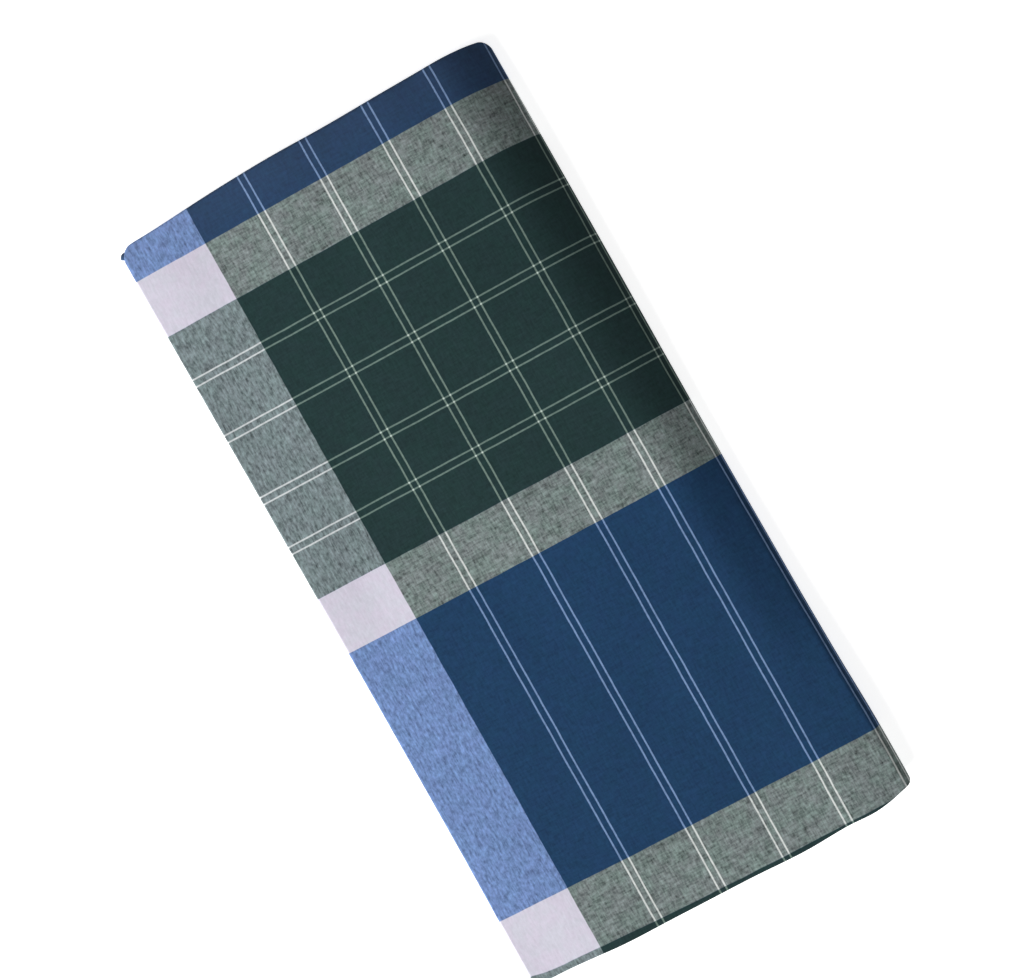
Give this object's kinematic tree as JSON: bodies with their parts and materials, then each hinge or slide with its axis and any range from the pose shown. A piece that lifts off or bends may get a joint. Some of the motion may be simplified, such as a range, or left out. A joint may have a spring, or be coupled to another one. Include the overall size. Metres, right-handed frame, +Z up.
{
  "type": "folded lungi",
  "caption": "Checked cotton lungi folded to a flat oblong bundle, with open selvages along one side and a thick rounded fold along the other.",
  "frame": {"origin": "centre of the bundle's outline, on the surface that it lies on", "axes": "+X from the open selvage edge to the thick fold, +Y along the stripes to the navy end, +Z up"},
  "size_m": [0.261, 0.5297, 0.0233],
  "materials": {
    "check_cloth": "plain woven cotton, matt",
    "layer_edges": "folds, selvages and cut ends of the same cotton, matt"
  },
  "bodies": {
    "root": {"top_panel": "check_cloth", "right_fold": "check_cloth", "under_panel": "check_cloth", "left_fold": "check_cloth", "hidden_layers": "layer_edges"}
  },
  "joints": []
}
